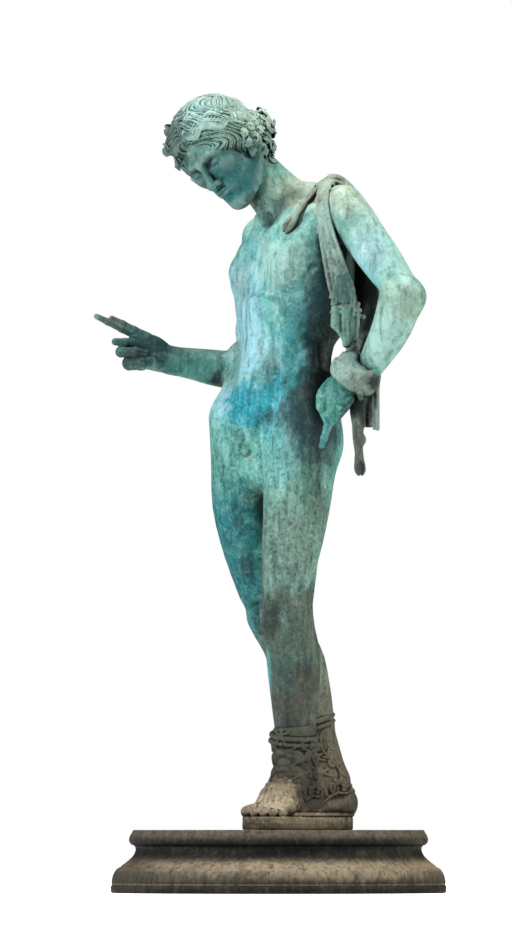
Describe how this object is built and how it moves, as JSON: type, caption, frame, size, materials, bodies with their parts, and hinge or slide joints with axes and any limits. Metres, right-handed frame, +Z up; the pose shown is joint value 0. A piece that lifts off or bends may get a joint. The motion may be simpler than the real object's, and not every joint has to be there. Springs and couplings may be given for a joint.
{
  "type": "bronze figure of a standing youth",
  "caption": "Cast bronze standing youth with bowed curly head, raised forefinger, hand on hip, hide over one shoulder and laced boots, on a round moulded plinth.",
  "frame": {"origin": "centre of the plinth's flat underside", "axes": "+Z up from the plinth to the head, the chest faces -Y and the figure's left is +X"},
  "size_m": [0.2958, 0.286, 0.685],
  "materials": {
    "patinated_bronze": "matt blue-green verdigris over dark bronze",
    "plinth_bronze": "dark olive-brown satin patina with tan streaks"
  },
  "bodies": {
    "root": {"figure": "patinated_bronze", "plinth": "plinth_bronze"}
  },
  "joints": []
}
